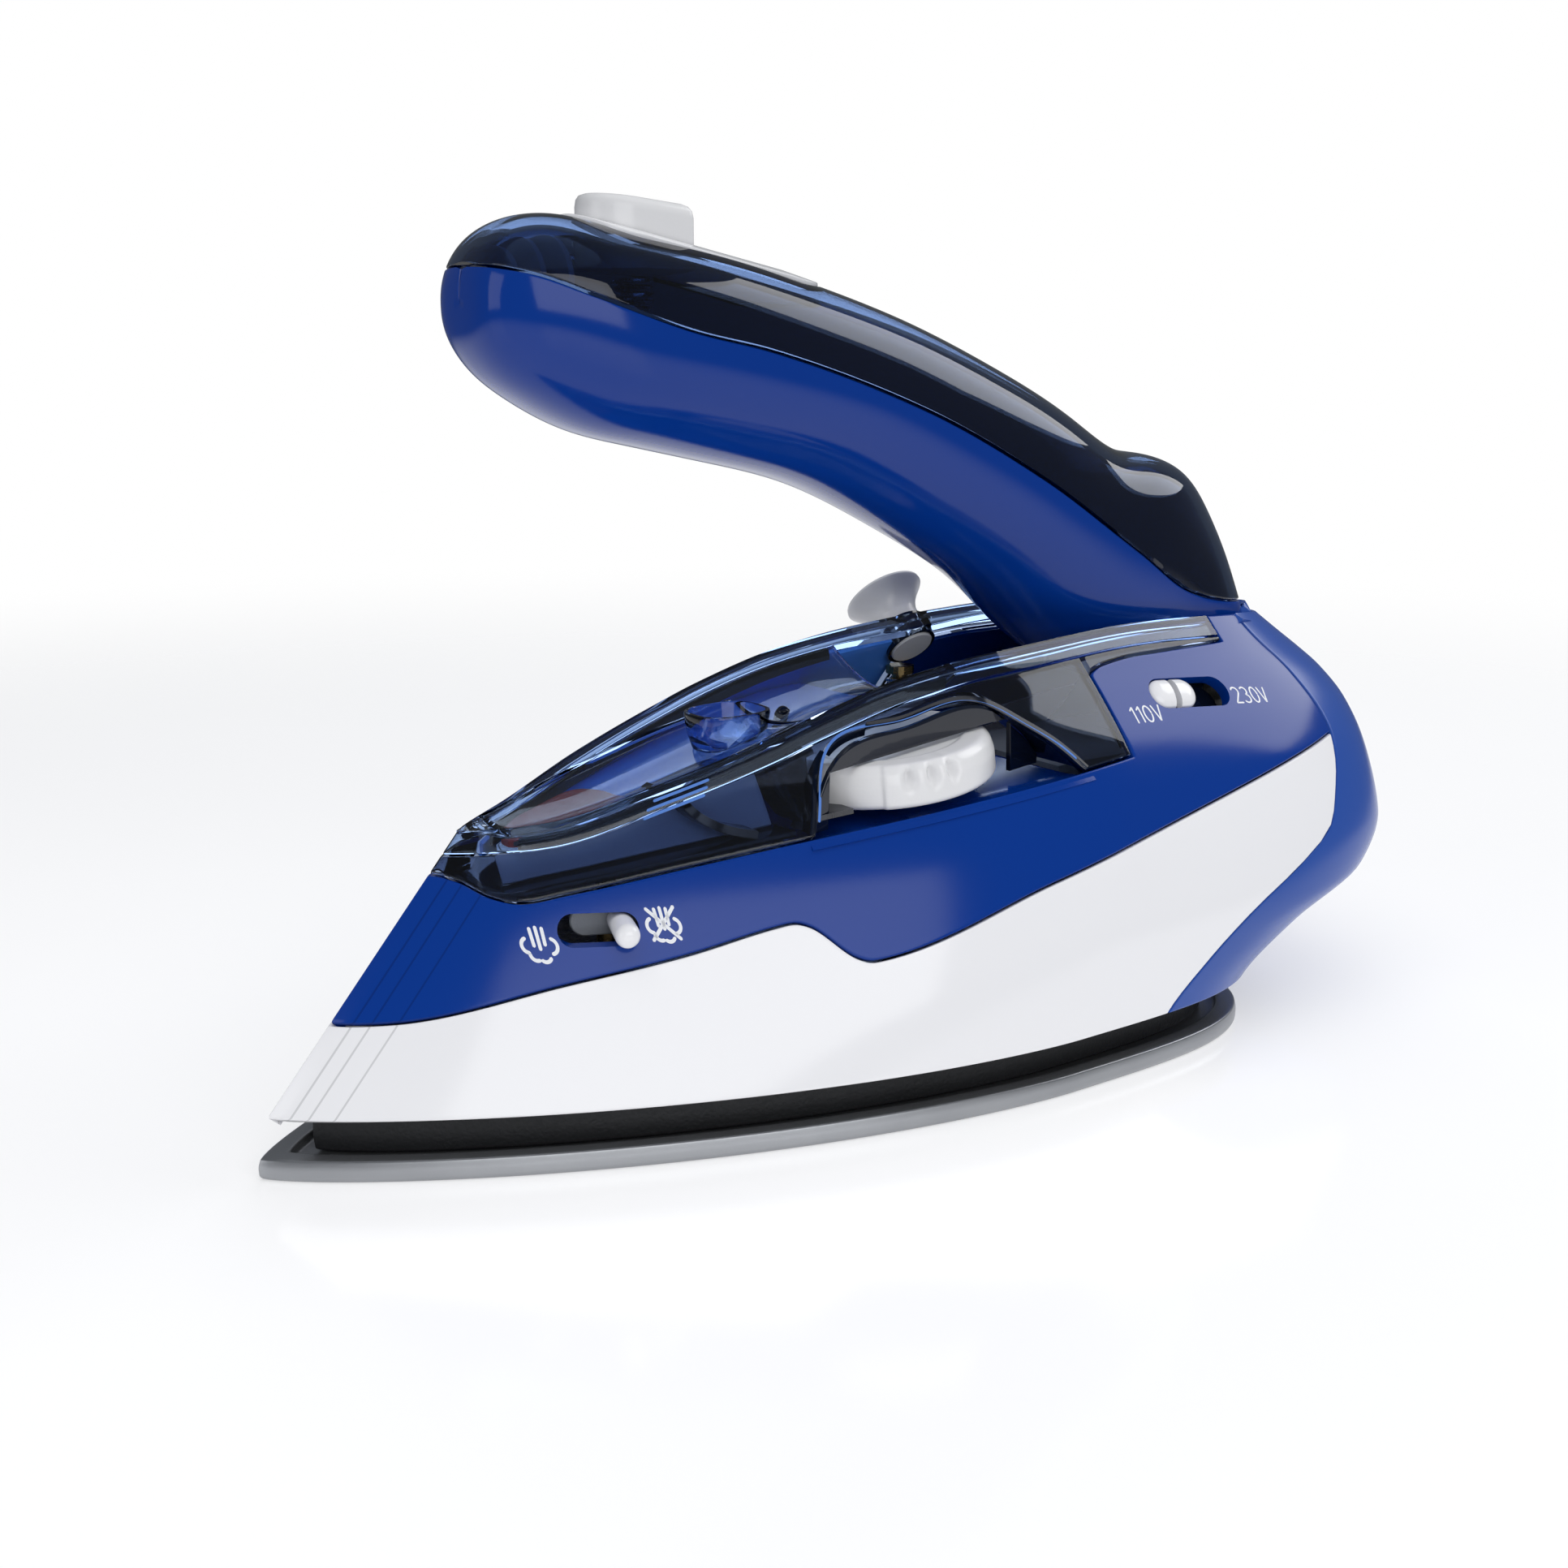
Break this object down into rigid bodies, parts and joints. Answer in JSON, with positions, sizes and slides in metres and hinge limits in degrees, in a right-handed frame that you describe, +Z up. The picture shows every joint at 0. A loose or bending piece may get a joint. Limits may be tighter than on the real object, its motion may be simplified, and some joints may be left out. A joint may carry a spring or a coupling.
{
  "type": "folding travel steam iron",
  "caption": "Compact steam iron with a ribbed-rim soleplate, smoked water tank, side dial and levers, and a handle that folds down onto the deck.",
  "frame": {"origin": "centre of the soleplate's ironing face", "axes": "+X from the nose to the heel along the object's length, +Z up, with the dial and the steam lever on the -Y side"},
  "size_m": [0.204, 0.0882, 0.1313],
  "materials": {
    "sole_aluminium": "satin",
    "dark_casting": "satin",
    "steel": "brushed",
    "brass": "turned",
    "white_plastic": "gloss",
    "blue_plastic": "gloss",
    "smoked_plastic": "gloss, smoked and transparent",
    "red_rubber": "matt",
    "black_plastic": "matt",
    "grey_plastic": "satin"
  },
  "bodies": {
    "base": {"soleplate": "sole_aluminium", "heater_casting": "dark_casting", "heating_element": "steel", "element_terminal_left": "brass", "element_terminal_right": "brass", "steam_chamber_cover": "steel", "lower_skirt": "white_plastic", "main_shell": "blue_plastic", "rear_cover": "blue_plastic", "water_tank": "smoked_plastic", "deck_cover": "smoked_plastic", "thermostat": "steel", "thermostat_spindle": "brass", "thermal_fuse": "steel", "valve_seat": "brass", "voltage_switch": "black_plastic", "pump_barrel": "grey_plastic", "pump_spring": "steel", "hinge_bracket": "grey_plastic", "hinge_bush_left": "brass", "hinge_bush_right": "brass", "heat_shield": "steel", "spacer_front": "brass", "spacer_left": "brass", "spacer_right": "brass", "casting_screw_front": "steel", "casting_screw_left": "steel", "casting_screw_right": "steel", "terminal_block": "black_plastic", "cord_inlet_bush": "black_plastic", "heel_screw_left": "steel", "heel_screw_right": "steel"},
    "handle": {"handle_lower_shell": "blue_plastic", "handle_upper_cover": "smoked_plastic", "handle_panel": "white_plastic", "hinge_pin": "steel", "release_spring": "steel"},
    "release": {"release_button": "white_plastic"},
    "latch": {"release_rod": "grey_plastic"},
    "dial": {"temperature_dial": "white_plastic", "dial_shaft": "black_plastic"},
    "lever": {"steam_lever": "white_plastic"},
    "needle": {"needle_valve": "brass"},
    "selector": {"voltage_selector": "white_plastic"},
    "shot_button": {"steam_shot_button": "white_plastic"},
    "piston": {"pump_piston": "brass"},
    "lid": {"filler_lid": "smoked_plastic", "filler_seal": "red_rubber"}
  },
  "joints": [
    {"name": "handle_fold", "type": "hinge", "parent": "base", "child": "handle", "pos_m": [0.088, 0, 0.062], "axis": [0, 1, 0], "range_deg": [-20, 0]},
    {"name": "release_press", "type": "slide", "parent": "handle", "child": "release", "axis": [0, 0, -1], "range_m": [0, 0.0025], "stiffness_N_per_m": 500, "deforming": ["release_spring"]},
    {"name": "latch_slide", "type": "slide", "parent": "handle", "child": "latch", "axis": [0.9292, 0, -0.3696], "range_m": [-0.0025, 0]},
    {"name": "dial_turn", "type": "hinge", "parent": "base", "child": "dial", "pos_m": [0.0152, -0.0134, 0.0488], "axis": [-0.1143, 0, 0.9935], "range_deg": [0, 270]},
    {"name": "steam_lever_slide", "type": "slide", "parent": "base", "child": "lever", "axis": [-0.9285, 0.3712, 0], "range_m": [0, 0.007]},
    {"name": "needle_lift", "type": "slide", "parent": "base", "child": "needle", "axis": [0, 0, 1], "range_m": [0, 0.0016]},
    {"name": "voltage_slide", "type": "slide", "parent": "base", "child": "selector", "axis": [0.9944, 0, -0.106], "range_m": [0, 0.0075]},
    {"name": "steam_shot_press", "type": "slide", "parent": "base", "child": "shot_button", "axis": [0, -0.7071, -0.7071], "range_m": [0, 0.002], "stiffness_N_per_m": 500},
    {"name": "piston_slide", "type": "slide", "parent": "base", "child": "piston", "axis": [0, 0, -1], "range_m": [0, 0.0015], "deforming": ["pump_spring"]},
    {"name": "lid_hinge", "type": "hinge", "parent": "base", "child": "lid", "pos_m": [-0.0455, 0, 0.0455], "axis": [0, -1, 0], "range_deg": [0, 55]}
  ],
  "couplings": [
    {"joint": "latch_slide", "follows": "release_press", "ratio": -1},
    {"joint": "needle_lift", "follows": "steam_lever_slide", "ratio": 0.22},
    {"joint": "piston_slide", "follows": "steam_shot_press", "ratio": 0.7071}
  ]
}
